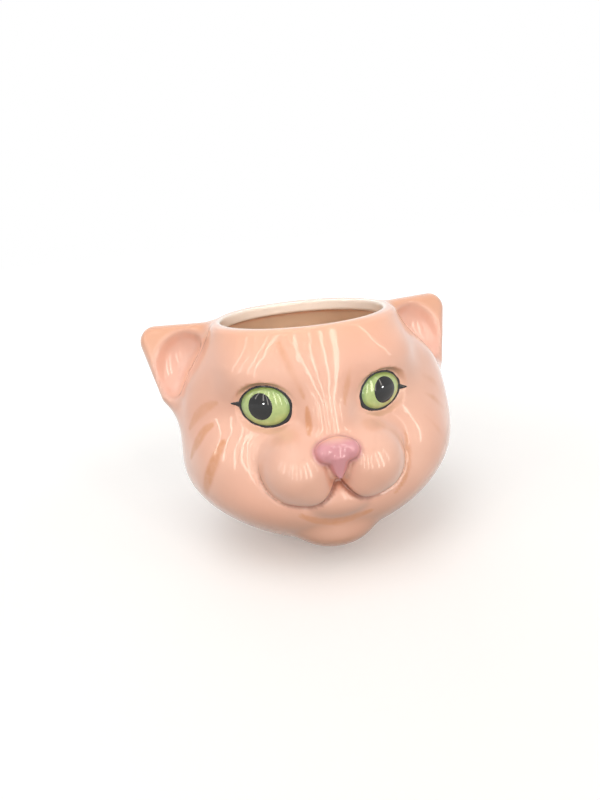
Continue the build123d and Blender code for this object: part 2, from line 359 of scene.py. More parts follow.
def outsideField(x, y, z, forms=None):
    f = forms or parts(x, y, z)
    soft = face["padSoftLow"] + (face["padSoftTop"] - face["padSoftLow"]) * smooth(*face["padSoftRise"], z)
    d = unite(f["head"], f["chin"], face["chin"]["softness"])
    d = unite(d, f["lip"], face["lip"]["softness"])
    d = unite(d, f["pad"], soft) + face["creaseDeep"] * mouthCrease(f, z)
    d = unite(d, f["nose"], nose["joinSoftness"])
    u, v, w = eyeLocal(x, y, z)
    beyond = eyeBeyond(x, u, v)
    hold = (1 - smooth(*eye["ease"], beyond)) * (1 - smooth(*eye["easeDeep"], np.abs(w)))
    level = -eye["skinUnder"] * (1 - smooth(*eye["seatEdge"], beyond))
    d = d * (1 - hold) + (w - level) * hold
    return unite(d, f["ear"], ear["joinSoftness"])


def solidField(x, y, z):
    d = overlap(outsideField(x, y, z), z - head["height"], head["rimRound"])
    d = overlap(d, -z, head["footRound"])
    d = cut(d, hollowField(x, y, z), head["mouthEdge"])
    recess = np.maximum(bodyField(x, y, z * 0) + head["footRing"], z - head["footRecess"])
    d = cut(d, recess, head["underEdge"])
    drain = np.maximum(np.hypot(x, y - head["footY"]) - head["drain"], z - head["floor"] - head["drainLap"])
    return cut(d, drain, head["underEdge"])


# Meshing: one point in each cell that the surface crosses, then moved onto the surface

meshing = {
    "step": 1.15,
    "low": (-83.0, -65.0, -2.5),
    "high": (83.0, 63.0, 113.5),
    "rounds": 3,
    "longestShare": 0.5,
    "gradientReach": 0.2,
    "leastGradient": 0.05,
    "innerBand": 1.2,
    "tidyRounds": 6,
}


def sampleField(step, low, high):
    axes = [np.arange(a, b + step, step) for a, b in zip(low, high)]
    slabs = []
    for z in axes[2]:
        x, y = np.meshgrid(axes[0], axes[1], indexing="ij")
        slabs.append(solidField(x, y, np.full(x.shape, z)))
    return np.stack(slabs, -1), np.array([a[0] for a in axes])


def surfaceNet(values, low, step):
    inside = values < 0
    shape = np.array(values.shape)
    corners = [np.array((i, j, k)) for i in (0, 1) for j in (0, 1) for k in (0, 1)]

    def atCorner(c):
        return inside[c[0]:shape[0] - 1 + c[0], c[1]:shape[1] - 1 + c[1], c[2]:shape[2] - 1 + c[2]]

    # one point in each mixed cell, at the mean of where the surface crosses its edges
    filled = sum(atCorner(c).astype(np.int8) for c in corners)
    cells = np.argwhere((filled > 0) & (filled < 8))
    total, hits = np.zeros((len(cells), 3)), np.zeros(len(cells))
    for c in corners:
        for axis in range(3):
            if c[axis]:
                continue
            d = c.copy()
            d[axis] = 1
            a, b = values[tuple((cells + c).T)], values[tuple((cells + d).T)]
            cross = (a < 0) != (b < 0)
            t = np.where(cross, a / np.where(cross, a - b, 1), 0)
            place = c + t[:, None] * (d - c)
            total += np.where(cross[:, None], place, 0)
            hits += cross
    points = (cells + total / hits[:, None]) * step + low
    index = np.full(shape - 1, -1)
    index[tuple(cells.T)] = np.arange(len(cells))
    # and one face round each crossed edge, between the four cells that share it
    quads = []
    for axis in range(3):
        e1, e2 = np.roll(np.eye(3, dtype=int), 1, 1)[axis], np.roll(np.eye(3, dtype=int), 2, 1)[axis]
        last = [slice(None)] * 3
        last[axis] = slice(0, -1)
        ahead = [slice(None)] * 3
        ahead[axis] = slice(1, None)
        here, there = inside[tuple(last)], inside[tuple(ahead)]
        edges = np.argwhere(here != there)
        ring = [index[tuple((edges - s).T)] for s in (e1 + e2, e2, 0 * e1, e1)]
        ring = np.stack(ring, 1)
        outward = here[tuple(edges.T)]
        ring[~outward] = ring[~outward][:, ::-1]
        quads.append(ring)
    return points, np.concatenate(quads)


def gradientAt(points):
    x, y, z = points.T
    reach = meshing["gradientReach"]
    g = [solidField(x + a, y + b, z + c) - solidField(x - a, y - b, z - c) for a, b, c in reach * np.eye(3)]
    return np.stack(g, 1) / (2 * reach)


def ontoSurface(points, rounds, longest):
    for _ in range(rounds):
        g = gradientAt(points)
        size = np.maximum((g ** 2).sum(1), meshing["leastGradient"])
        move = (solidField(*points.T) / size)[:, None] * g
        far = np.linalg.norm(move, axis=1, keepdims=True)
        points = points - move * np.minimum(1, longest / np.maximum(far, 1e-9))
    return points


values, low = sampleField(meshing["step"], meshing["low"], meshing["high"])
points, quads = surfaceNet(values, low, meshing["step"])
points = ontoSurface(points, meshing["rounds"], meshing["longestShare"] * meshing["step"])
normals = gradientAt(points)
normals /= np.maximum(np.linalg.norm(normals, axis=1, keepdims=True), 1e-9)
print("skin meshed", len(points), "points", len(quads), "faces")


# Which clay piece each face belongs to

def onlyHere(faces, count):
    # points on the open edge of a set of faces
    edges = np.sort(np.stack([faces, np.roll(faces, -1, 1)], -1).reshape(-1, 2), 1)
    unique, uses = np.unique(edges, axis=0, return_counts=True)
    rim = np.zeros(count, bool)
    rim[unique[uses == 1].ravel()] = True
    return rim


clayNames = ("head", "pad", "lip", "chin", "nose", "ear")
centres = points[quads].mean(1)
forms = parts(*centres.T)
label = np.argmin(np.stack([forms[n] for n in clayNames]), 0)
label[hollowField(*centres.T) < meshing["innerBand"]] = 0
left = centres[:, 0] > 0
for _ in range(meshing["tidyRounds"]):
    # a face whose points all lie on its piece's rim goes to the piece next to it
    changed = 0
    for i in range(1, len(clayNames)):
        for side in (left, ~left) if clayNames[i] in ("pad", "ear") else (left | ~left,):
            mine = (label == i) & side
            if not mine.any():
                continue
            others = np.zeros(len(points), int)
            for k in range(len(clayNames)):
                if k != i:
                    others[quads[label == k].ravel()] = k
            rim = onlyHere(quads[mine], len(points))
            stray = mine & rim[quads].all(1)
            label[stray] = others[quads[stray]].max(1)
            changed += int(stray.sum())
    if not changed:
        break


def labelled(name):
    return label == clayNames.index(name)


print("faces shared out", [int((label == i).sum()) for i in range(len(clayNames))])


# Painted and fired colour, and painted shade in hollows, along the mouth and underneath, kept as a number at each
# point of the surface

paint = {
    # each pair is where a colour starts and where it is full, in millimetres
    "noseEdge": (0.2, 1.5),
    "noseTop": (64.5, 68.0),
    "collarEdge": (0.4, 2.6),
    "collarFrom": (103.0, 105.0),
    "insideEdge": (0.6, 1.6),
    "insideUntil": (102.5, 104.8),
    "bareUntil": (0.4, 1.4),
    "earHollowEdge": (0.0, 4.0),
    # clay this far off the ear's own sheet counts as further out of its hollow
    "earOff": 1.5,
    "earOffMore": 2.0,
    "earTip": (2.5, -1.0),
    "earTipFrom": (86.0, 108.0),
    "foreheadFrom": (92.0, 112.0),
    "foreheadShare": 0.5,
    "lipBand": (3.0, 7.0),
    "noseFoot": (44.0, 48.0),
    "noseFootHalf": (6.0, 10.0),
    # darker in hollows and creases, found by how near the clay is a short way out: partly glaze pooled there, partly
    # painted shade
    "poolAndShadeReach": 2.6,
    "pool": (0.5, 2.2),
    "poolAndShadeOffEye": (8.0, 16.0),
    # painted shade: the colour darkens low down, where the clay faces the floor
    "underUntil": (18.0, 46.0),
    "underFacing": (-0.2, 0.6),
    # a stroke's share of its width at the ends, its start and length in the swell, its soft edge
    "strokeThin": 0.35,
    "strokeSwell": (0.08, 0.86),
    "strokeEdge": (0.45, 1.15),
    # points along the middle of a brush stroke, its half width and its strength
    "strokes": (
        (((-46.5, -24, 79.5), (-52.3, -20.5, 76.5), (-56.4, -17.7, 72.5), (-60.7, -15.6, 66.4)), 3.0, 0.55),
        (((-50.2, -25.7, 69.8), (-53.7, -24.1, 67.4), (-57.6, -23.3, 62.2), (-61.6, -20.6, 53.7)), 3.2, 0.8),
        (((-46.3, -33.5, 63.8), (-51.6, -34.8, 55.5), (-54.8, -33.3, 47.9), (-56.6, -28.7, 39.0), (-55, -26, 34)),
         3.4, 0.9),
        (((-17.2, -34.6, 105), (-15.5, -36.9, 99.3), (-13.7, -38.6, 94.1), (-11.1, -40.7, 88), (-9.8, -42.9, 82.5)),
         2.8, 0.55),
        (((-9.5, -44.8, 78), (-9.5, -46.2, 72.5), (-9.8, -48.6, 67)), 2.2, 0.95),
        (((12.4, -37, 99), (11.6, -39, 94.3), (9.4, -41.6, 87.6), (7.1, -46.2, 78.3)), 2.4, 0.6),
        (((33.6, -40, 60), (34.7, -41.6, 57.3), (34.6, -44.5, 50.6), (33.2, -47.1, 44), (30.4, -49.2, 38.9),
          (26, -50.9, 35)), 2.0, 0.7),
        (((-17.1, -52.9, 31.8), (-10.3, -53, 28.1), (-2.2, -53.1, 26.7), (5.2, -53.2, 27.3), (14.2, -52.6, 28.9)),
         2.8, 0.75),
        (((46.5, -24, 79.5), (51.5, -20.5, 77), (56.4, -17.7, 72.5), (60.7, -15, 65)), 3.0, 0.5),
        (((49.5, -25.7, 70), (54, -24, 66.5), (58, -22, 60.5), (61.6, -19, 52)), 3.2, 0.65),
        (((46.3, -33.5, 62), (51.6, -33, 54), (54.8, -31, 46.5), (56, -27, 38)), 3.4, 0.7),
    ),
}


def strokeMask(p, strokes):
    mask = np.zeros(len(p))
    thin, (first, length) = paint["strokeThin"], paint["strokeSwell"]
    for line, halfWidth, strength in strokes:
        line = np.array(line, float)
        lengths = np.r_[0, np.cumsum(np.linalg.norm(np.diff(line, axis=0), axis=1))]
        for i, (a, b) in enumerate(zip(line[:-1], line[1:])):
            t = np.clip(((p - a) @ (b - a)) / ((b - a) @ (b - a)), 0, 1)
            off = np.linalg.norm(p - a - t[:, None] * (b - a), axis=1)
            along = (lengths[i] + t * (lengths[i + 1] - lengths[i])) / lengths[-1]
            width = halfWidth * (thin + (1 - thin) * np.sin(math.pi * np.clip(first + length * along, 0, 1)))
            mask = np.maximum(mask, strength * (1 - smooth(*paint["strokeEdge"], off / width)))
    return mask


def paintMasks(p):
    x, y, z = p.T
    f = parts(x, y, z)
    inside = (1 - smooth(*paint["insideEdge"], hollowField(x, y, z))) * (1 - smooth(*paint["insideUntil"], z))
    earTip = smooth(*paint["earTip"], f["ear"]) * smooth(*paint["earTipFrom"], z)
    scooped = np.abs(earHollow(x, y, z)) + paint["earOffMore"] * (f["ear"] > paint["earOff"])
    # the line of the mouth stays clear of the nose's foot
    noseFoot = smooth(*paint["noseFoot"], z) * (1 - smooth(*paint["noseFootHalf"], np.abs(x)))
    # the dark mouth line: partly glaze gathered in the crease, partly painted shade that the shallow crease does not
    # throw itself
    crease = mouthCrease(f, z) * (1 - smooth(*paint["lipBand"], np.abs(f["lip"]))) * (1 - noseFoot)
    # painted shade, with pooled glaze: the colour darkens where the clay is hollow or creased
    over = solidField(*(p + paint["poolAndShadeReach"] * normals).T)
    pooledAndShaded = smooth(*paint["pool"], paint["poolAndShadeReach"] - over)
    return {
        "pink": (1 - smooth(*paint["noseEdge"], f["nose"])) * (1 - smooth(*paint["noseTop"], z)),
        "collar": (1 - smooth(*paint["collarEdge"], mouthField(x, y))) * smooth(*paint["collarFrom"], z),
        "inside": inside,
        "bare": 1 - smooth(*paint["bareUntil"], z),
        "earHollow": 1 - smooth(*paint["earHollowEdge"], scooped),
        "warm": np.maximum(earTip, smooth(*paint["foreheadFrom"], z) * paint["foreheadShare"]),
        "stroke": strokeMask(p, paint["strokes"]),
        "mouth": crease,
        # painted shade in hollows and creases, kept off the eyes
        "pool": pooledAndShaded * smooth(*paint["poolAndShadeOffEye"], eyeBeyond(x, *eyeLocal(x, y, z)[:2])),
        # painted shade on the underside, under the chin and jaw
        "under": (1 - smooth(*paint["underUntil"], z)) * smooth(*paint["underFacing"], -normals[:, 2]),
    }


masks = paintMasks(points)


# Materials

def newMaterial(name):
    material = bpy.data.materials.new(name)
    material.use_nodes = True
    tree = material.node_tree
    tree.nodes.clear()
    output = tree.nodes.new("ShaderNodeOutputMaterial")
    return material, tree, output


def mixColour(tree, factor, a, b):
    node = addNode(tree, "ShaderNodeMix", data_type="RGBA")
    for socket, value in (("Factor_Float", factor), ("A_Color", a), ("B_Color", b)):
        target = next(s for s in node.inputs if s.identifier == socket)
        if isinstance(value, bpy.types.NodeSocket):
            tree.links.new(value, target)
        else:
            target.default_value = value
    return next(s for s in node.outputs if s.identifier == "Result_Color")


def noiseAt(tree, size, detail=2.0, roughness=0.5):
    # size is the pattern's real size in metres
    place = addNode(tree, "ShaderNodeTexCoord")
    return addNode(tree, "ShaderNodeTexNoise", {"Vector": place.outputs["Object"], "Scale": 1 / size, "Detail": detail,
                                                "Roughness": roughness}).outputs["Fac"]


def ranged(tree, value, low, high, newLow, newHigh):
    return addNode(tree, "ShaderNodeMapRange", {"Value": value, "From Min": low, "From Max": high, "To Min": newLow,
                                                "To Max": newHigh}).outputs["Result"]


def timesFactor(tree, a, b):
    node = addNode(tree, "ShaderNodeMath", operation="MULTIPLY")
    for socket, value in zip(node.inputs, (a, b)):
        if isinstance(value, bpy.types.NodeSocket):
            tree.links.new(value, socket)
        else:
            socket.default_value = value
    return node.outputs[0]


glaze = {
    "peach": "F7C3AC",
    "deeper": "EFB096",
    "warm": "F4AE82",
    "stroke": "DE9460",
    # brown for hollows and creases: partly pooled glaze, partly painted shade
    "pool": "B27C66",
    # mouth line: partly gathered glaze, partly painted shade
    "mouth": "A8685C",
    "pink": "E49CA6",
    "collar": "FFF1E4",
    "inside": "F3D3B6",
    "earHollow": "F9C9B8",
    # painted shade for the underside
    "under": "CB8F6C",
    "bare": "D8BFA6",
    "thinShare": 0.75,
    "roughness": 0.30,
    "bareRoughness": 0.8,
    "coatRoughness": 0.035,
    # sizes in metres: cloudy patches, brush marks, waves of the glaze; and the part of a
    # pattern that is used, with what it turns into
    "cloud": 0.030,
    "cloudRange": (0.35, 0.65, 0.0, 0.45),
    "brushMark": 0.004,
    "brushRange": (0.25, 0.7, 0.55, 1.0),
    "wave": 0.006,
    "waveDepth": 0.00012,
}


def glazedEarthenware():
    # cast clay under a thick clear glaze, which the eye reads by its sharp, slightly wavy shine
    material, tree, output = newMaterial("glazed_earthenware")
    cloud = noiseAt(tree, glaze["cloud"], 3.0)
    clouded = ranged(tree, cloud, *glaze["cloudRange"])
    colour = mixColour(tree, clouded, linear(glaze["peach"]), linear(glaze["deeper"]))
    brush = ranged(tree, noiseAt(tree, glaze["brushMark"], 4.0, 0.6), *glaze["brushRange"])
    # the masks for hollows, the mouth line and the underside lay painted shade into the colour, with the real paint
    for mask in ("warm", "earHollow", "under", "stroke", "pink", "pool", "mouth", "inside", "collar", "bare"):
        factor = addNode(tree, "ShaderNodeAttribute", attribute_name=mask).outputs["Fac"]
        if mask == "stroke":
            factor = timesFactor(tree, factor, brush)
        if mask in ("warm", "earHollow", "under", "pool", "mouth"):
            factor = timesFactor(tree, factor, glaze["thinShare"])
        colour = mixColour(tree, factor, colour, linear(glaze[mask]))
    bare = addNode(tree, "ShaderNodeAttribute", attribute_name="bare").outputs["Fac"]
    wave = addNode(tree, "ShaderNodeBump", {"Height": noiseAt(tree, glaze["wave"], 1.0), "Strength": 1.0,
                                            "Distance": glaze["waveDepth"]})
    shader = addNode(tree, "ShaderNodeBsdfPrincipled", {
        "Base Color": colour, "Roughness": ranged(tree, bare, 0, 1, glaze["roughness"], glaze["bareRoughness"]),
        "Coat Weight": ranged(tree, bare, 0, 1, 1.0, 0.0), "Coat Roughness": glaze["coatRoughness"],
        "Coat IOR": 1.5, "Normal": wave.outputs["Normal"], "Coat Normal": wave.outputs["Normal"]})
    tree.links.new(shader.outputs[0], output.inputs["Surface"])
    return material


iris = {"light": "C9E08F", "green": "AFD07C", "deep": "86AC5C", "roughness": 0.12, "coatRoughness": 0.02,
        "streak": 0.0022, "streakRange": (0.3, 0.7, 0.0, 0.7)}
enamel = {"black": "0C0B0C", "brown": "2A1B14", "thinPatch": 0.0016, "thinFrom": (0.5, 0.72), "specular": 0.1,
          "coatRoughness": 0.03}


def greenGlaze():
    # painted green under glass-clear glaze: brush streaks and a deeper edge
    material, tree, output = newMaterial("green_glaze")
    edge = addNode(tree, "ShaderNodeAttribute", attribute_name="edge").outputs["Fac"]
    streaks = ranged(tree, noiseAt(tree, iris["streak"], 3.0), *iris["streakRange"])
    colour = mixColour(tree, streaks, linear(iris["light"]), linear(iris["green"]))
    colour = mixColour(tree, edge, colour, linear(iris["deep"]))
    shader = addNode(tree, "ShaderNodeBsdfPrincipled", {"Base Color": colour, "Roughness": iris["roughness"],
                                                        "Coat Weight": 1.0, "Coat Roughness": iris["coatRoughness"]})
    tree.links.new(shader.outputs[0], output.inputs["Surface"])
    return material


def darkEnamel(name, roughness, brownest):
    # near-black enamel, thin enough in places for brown to show
    material, tree, output = newMaterial(name)
    thin = ranged(tree, noiseAt(tree, enamel["thinPatch"], 3.0), *enamel["thinFrom"], 0.0, brownest)
    colour = mixColour(tree, thin, linear(enamel["black"]), linear(enamel["brown"]))
    shader = addNode(tree, "ShaderNodeBsdfPrincipled", {"Base Color": colour, "Roughness": roughness,
                                                        "Specular IOR Level": enamel["specular"],
                                                        "Coat Weight": 1.0,
                                                        "Coat Roughness": enamel["coatRoughness"]})
    tree.links.new(shader.outputs[0], output.inputs["Surface"])
    return material


rubber = {"grey": "3B3A38", "worn": "4A4845", "roughness": (0.5, 0.7), "mottle": 0.006, "grain": 0.0008,
          "grainDepth": 0.00004}


def stopperRubber():
    # moulded rubber: dull, faintly mottled
    material, tree, output = newMaterial("stopper_rubber")
    mottle = noiseAt(tree, rubber["mottle"], 4.0)
    colour = mixColour(tree, mottle, linear(rubber["grey"]), linear(rubber["worn"]))
    grain = addNode(tree, "ShaderNodeBump", {"Height": noiseAt(tree, rubber["grain"], 2.0),
                                             "Distance": rubber["grainDepth"]})
    shader = addNode(tree, "ShaderNodeBsdfPrincipled", {
        "Base Color": colour, "Roughness": ranged(tree, mottle, 0, 1, *rubber["roughness"]),
        "Normal": grain.outputs["Normal"]})
    tree.links.new(shader.outputs[0], output.inputs["Surface"])
    return material


earthenware, green = glazedEarthenware(), greenGlaze()
pupilBlack, linerBlack = darkEnamel("black_enamel", 0.08, 0.1), darkEnamel("brown_black_line", 0.25, 1.0)
print("materials made")


# Pieces

def makePiece(name, verts, faces, material, node, vertexNormals=None, values=None):
    mesh = bpy.data.meshes.new(name)
    place = np.array(verts, float) + (0, backShift, 0)
    mesh.from_pydata((place * millimetre).tolist(), [], [list(map(int, f)) for f in faces])
    mesh.polygons.foreach_set("use_smooth", np.ones(len(mesh.polygons), bool))
    for key, value in (values or {}).items():
        layer = mesh.attributes.new(key, "FLOAT", "POINT")
        layer.data.foreach_set("value", np.asarray(value, np.float32))
    if vertexNormals is not None:
        mesh.normals_split_custom_set_from_vertices(np.asarray(vertexNormals, float).tolist())
    mesh.materials.append(material)
    piece = bpy.data.objects.new(name, mesh)
    bpy.context.scene.collection.objects.link(piece)
    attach(piece, "planter")
    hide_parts(node)
    return piece


clayDepth = {"piece": 1.5, "seat": 1.6, "middleShare": 0.6}


def clayPiece(name, chosen, node):
    # the piece's own skin, closed behind by the same faces moved into the clay
    skin = quads[chosen]
    rim = onlyHere(skin, len(points))
    used = np.unique(skin)
    within = used[~rim[used]]
    front = np.full(len(points), -1)
    front[used] = np.arange(len(used))
    back = front.copy()
    back[within] = len(used) + np.arange(len(within))
    # a face with at most one point inside the rim gets one behind its middle
    lone = rim[skin].sum(1) > 2
    inward = clayDepth["middleShare"] * clayDepth["piece"]
    middle = points[skin[lone]].mean(1) - inward * normals[skin[lone]].mean(1)
    verts = np.concatenate([points[used], points[within] - clayDepth["piece"] * normals[within], middle])
    turned = np.concatenate([normals[used], -normals[within], -normals[skin[lone, 0]]])
    faces = front[skin].tolist() + back[skin[~lone]][:, ::-1].tolist()
    tips = len(used) + len(within) + np.arange(int(lone.sum()))
    for corners, tip in zip(back[skin[lone]], tips):
        faces += [(corners[(k + 1) % 4], corners[k], tip) for k in range(4)]
    source = np.concatenate([used, within, skin[lone, 0]])
    makePiece(name, verts, faces, earthenware, node, turned, {k: v[source] for k, v in masks.items()})


def shellPiece(name, chosen, node):
    # the head's skin, seated lower where the other pieces cover it
    own = np.unique(quads[chosen])
    covered = np.setdiff1d(np.arange(len(points)), own)
    verts = points.copy()
    verts[covered] -= clayDepth["seat"] * normals[covered]
    # a covered face between seen ones gets a point under its middle
    lone = ~chosen & (np.isin(quads, own).sum(1) > 2)
    inward = clayDepth["middleShare"] * clayDepth["seat"]
    middle = points[quads[lone]].mean(1) - inward * normals[quads[lone]].mean(1)
    faces = quads[~lone].tolist()
    for corners, tip in zip(quads[lone], len(points) + np.arange(int(lone.sum()))):
        faces += [(corners[k], corners[(k + 1) % 4], tip) for k in range(4)]
    source = np.concatenate([np.arange(len(points)), quads[lone, 0]])
    makePiece(name, np.concatenate([verts, middle]), faces, earthenware, node, normals[source],
              {k: v[source] for k, v in masks.items()})


shellPiece("headShell", labelled("head"), "head_shell")
clayPiece("leftEar", labelled("ear") & left, "left_ear")
clayPiece("rightEar", labelled("ear") & ~left, "right_ear")
clayPiece("leftMuzzlePad", labelled("pad") & left, "left_muzzle_pad")
clayPiece("rightMuzzlePad", labelled("pad") & ~left, "right_muzzle_pad")
clayPiece("lowerLip", labelled("lip"), "lower_lip")
clayPiece("chinPiece", labelled("chin"), "chin")
clayPiece("nosePiece", labelled("nose"), "nose")
print("clay pieces made")


# Eyes, pupils and painted lines. Each is drawn in the left eye's own plane, with u to its outer
# corner and v up, and mirrored where it belongs to the right

pupil = {
    "left": {"place": (0.7, 0.4), "half": (6.0, 6.0)},
    "right": {"place": (1.6, 0.4), "half": (5.6, 6.1)},
    "proud": 0.14,
    "sunk": 0.02,
    "edgePower": 6,
    "skirt": 0.2,
    "mesh": (16, 72),
}
liner = {
    "out": 0.30,
    "half": 0.72,
    "thick": 0.30,
    "sunk": 0.05,
    "steps": 220,
    "around": 12,
    # waves round the ring and how far each moves the line or widens it
    "start": {"left": 2.6, "right": 1.1},
    "quickerStart": 0.4,
    "wobble": ((3, 0.16), (7, 0.10), (13, 0.06)),
    "swell": ((5, 0.12), (11, 0.08)),
    # the brush lay heavier at the inner lower corner: turn, spread, more
    "heavy": (3.75, 0.75, 0.45),
    # the flick's points from the outer corner, and its half widths there
    "flick": {
        "left": ((-1.2, -1.4), (0.6, -1.7), (1.9, -2.0), (3.6, -2.3)),
        "right": ((-1.0, 0.2), (0.8, 0.5), (2.4, 0.9), (4.6, 0.9)),
    },
    "flickHalf": (2.0, 1.5, 0.85, 0.25),
    "flickSteps": 24,
    # where the search for the clay's level starts, its rounds and its share of each step
    "levelStart": 0.4,
    "levelRounds": 12,
    "levelShare": 0.8,
}


def domeHeight(u, v, half):
    return eye["bulge"] * np.clip(1 - (u / half[0]) ** 2 - (v / half[1]) ** 2, 0, 1) ** eye["roundness"]


def toHead(local, right):
    p = np.array(local) @ eyeTurn.T + np.array(eye["place"])
    return p * ((-1, 1, 1) if right else (1, 1, 1))


def discMesh(centre, half, height, depth, rings, around):
    # rings of points over an ellipse, with a short skirt and a flat back
    turn = np.linspace(0, 2 * math.pi, around, endpoint=False)
    verts = [(centre[0], centre[1], float(height(np.array(centre[0]), np.array(centre[1]), 0.0)))]
    shares = np.sin(np.linspace(0, math.pi / 2, rings + 1))[1:]
    for share in shares:
        u, v = centre[0] + share * half[0] * np.cos(turn), centre[1] + share * half[1] * np.sin(turn)
        verts += list(zip(u, v, height(u, v, share)))
    verts += [(u, v, -depth) for u, v, w in verts[-around:]]
    verts.append((centre[0], centre[1], -depth))
    faces = [(0, 1 + i, 1 + (i + 1) % around) for i in range(around)]
    for ring in range(rings):
        a = 1 + ring * around
        faces += [(a + i, a + around + i, a + around + (i + 1) % around, a + (i + 1) % around) for i in range(around)]
    last, end = 1 + rings * around, len(verts) - 1
    faces += [(end, last + (i + 1) % around, last + i) for i in range(around)]
    return np.array(verts), faces


def skinLevel(u, v, right):
    # height of the clay under a point of the eye's own plane
    w = np.full(np.shape(u), liner["levelStart"])
    for _ in range(liner["levelRounds"]):
        w = w - liner["levelShare"] * solidField(*toHead(np.stack([u, v, w], -1), right).T)
    return w


def tubeMesh(path, halfWidths, halfThicks, around, closed):
    # flattened tube along points in the eye's own frame
    path = np.array(path)
    if closed:
        ahead = np.roll(path, -1, 0) - np.roll(path, 1, 0)
    else:
        ahead = np.gradient(path, axis=0)
    ahead /= np.linalg.norm(ahead, axis=1, keepdims=True)
    side = np.cross(ahead, (0, 0, 1))
    side /= np.linalg.norm(side, axis=1, keepdims=True)
    up = np.cross(side, ahead)
    turn = np.linspace(0, 2 * math.pi, around, endpoint=False)
    verts = (path[:, None] + side[:, None] * (halfWidths[:, None] * np.cos(turn))[..., None]
             + up[:, None] * (halfThicks[:, None] * np.sin(turn))[..., None]).reshape(-1, 3)
    count = len(path)
    faces = []
    for i in range(count if closed else count - 1):
        j = (i + 1) % count
        faces += [(i * around + k, i * around + (k + 1) % around, j * around + (k + 1) % around, j * around + k)
                  for k in range(around)]
    if not closed:
        faces.append(tuple(range(around))[::-1])
        faces.append(tuple((count - 1) * around + k for k in range(around)))
    return verts, faces


def eyePiece(side, name, verts, faces, material, node, values=None):
    right = side == "right"
    turned = [f[::-1] for f in faces] if right else faces
    makePiece(side + name, toHead(verts, right), turned, material, side + node, None, values)


def makeEye(side):
    half, dot = eye["half"][side], pupil[side]

    def dome(u, v, share):
        return domeHeight(u, v, half)

    def proudOfDome(u, v, share):
        return domeHeight(u, v, half) + pupil["proud"] * (1 - share ** pupil["edgePower"]) ** 0.5 - pupil["sunk"]

    verts, faces = discMesh((0, 0), half, dome, eye["skirt"], *eye["mesh"])
    edge = smooth(*eye["greenEdge"], np.hypot(verts[:, 0] / half[0], verts[:, 1] / half[1]))
    eyePiece(side, "Eye", verts, faces, green, "_eye", {"edge": edge})
    verts, faces = discMesh(dot["place"], dot["half"], proudOfDome, pupil["skirt"], *pupil["mesh"])
    eyePiece(side, "Pupil", verts, faces, pupilBlack, "_pupil")


def makeLiner(side):
    # a wobbly brushed ring, and the flick at its outer corner
    right, half, start = side == "right", eye["half"][side], liner["start"][side]
    turn = np.linspace(0, 2 * math.pi, liner["steps"], endpoint=False)
    starts = (start, liner["quickerStart"], 2 * start)
    out = liner["out"] + sum(by * np.sin(waves * turn + s) for (waves, by), s in zip(liner["wobble"], starts))
    lineU, lineV = (half[0] + out) * np.cos(turn), (half[1] + out) * np.sin(turn)
    lineW = np.maximum(skinLevel(lineU, lineV, right), domeHeight(lineU, lineV, half)) - liner["sunk"]
    at, spread, more = liner["heavy"]
    heavy = more * np.exp(-((np.angle(np.exp(1j * (turn - at)))) / spread) ** 2)
    (wide, wideBy), (wider, widerBy) = liner["swell"]
    widths = liner["half"] + heavy + wideBy * np.sin(wide * turn + start) + widerBy * np.sin(wider * turn)
    ringVerts, ringFaces = tubeMesh(np.stack([lineU, lineV, lineW], -1), widths, np.full(len(turn), liner["thick"]),
                                    liner["around"], True)
    knots = np.array(liner["flick"][side]) + (half[0], 0)
    t = np.linspace(0, len(knots) - 1, liner["flickSteps"])
    flickU, flickV = (np.interp(t, range(len(knots)), knots[:, k]) for k in (0, 1))
    flickHalf = np.interp(t, range(len(knots)), liner["flickHalf"])
    flick = np.stack([flickU, flickV, skinLevel(flickU, flickV, right)], -1)
    flickVerts, flickFaces = tubeMesh(flick, flickHalf, np.minimum(liner["thick"], flickHalf), liner["around"], False)
    count = len(ringVerts)
    faces = ringFaces + [tuple(i + count for i in f) for f in flickFaces]
    eyePiece(side, "EyeLiner", np.concatenate([ringVerts, flickVerts]), faces, linerBlack, "_eye_liner")


for side in ("left", "right"):
    makeEye(side)
    makeLiner(side)

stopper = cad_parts["drain_stopper"]
stopper.data.materials.clear()
stopper.data.materials.append(stopperRubber())
print("eyes, lines and stopper made")


# Floor, lights, camera

view = {
    "place": (-46.2, -281.8, 159.6),
    "azimuth": -8.15,
    "elevation": 17.81,
    "roll": -5.57,
    "lens": 27.0,
    "film": 36.0,
    "nearest": 0.01,
}

floorSettings = {
    "radius": 3.0,
    "under": 0.0002,
    "colour": "F4F3F2",
    "bounce": "8E8884",
    "lift": 0.20,
    "near": 0.16,
    "far": 0.55,
}


def straightRays(tree):
    # 1 for what the camera, a reflection or glass looks at, so that none of it lights the planter
    path = addNode(tree, "ShaderNodeLightPath")
    seen = path.outputs["Is Camera Ray"]
    for kind in ("Is Glossy Ray", "Is Transmission Ray"):
        seen = addNode(tree, "ShaderNodeMath", {0: seen, 1: path.outputs[kind]}, operation="MAXIMUM").outputs[0]
    return seen


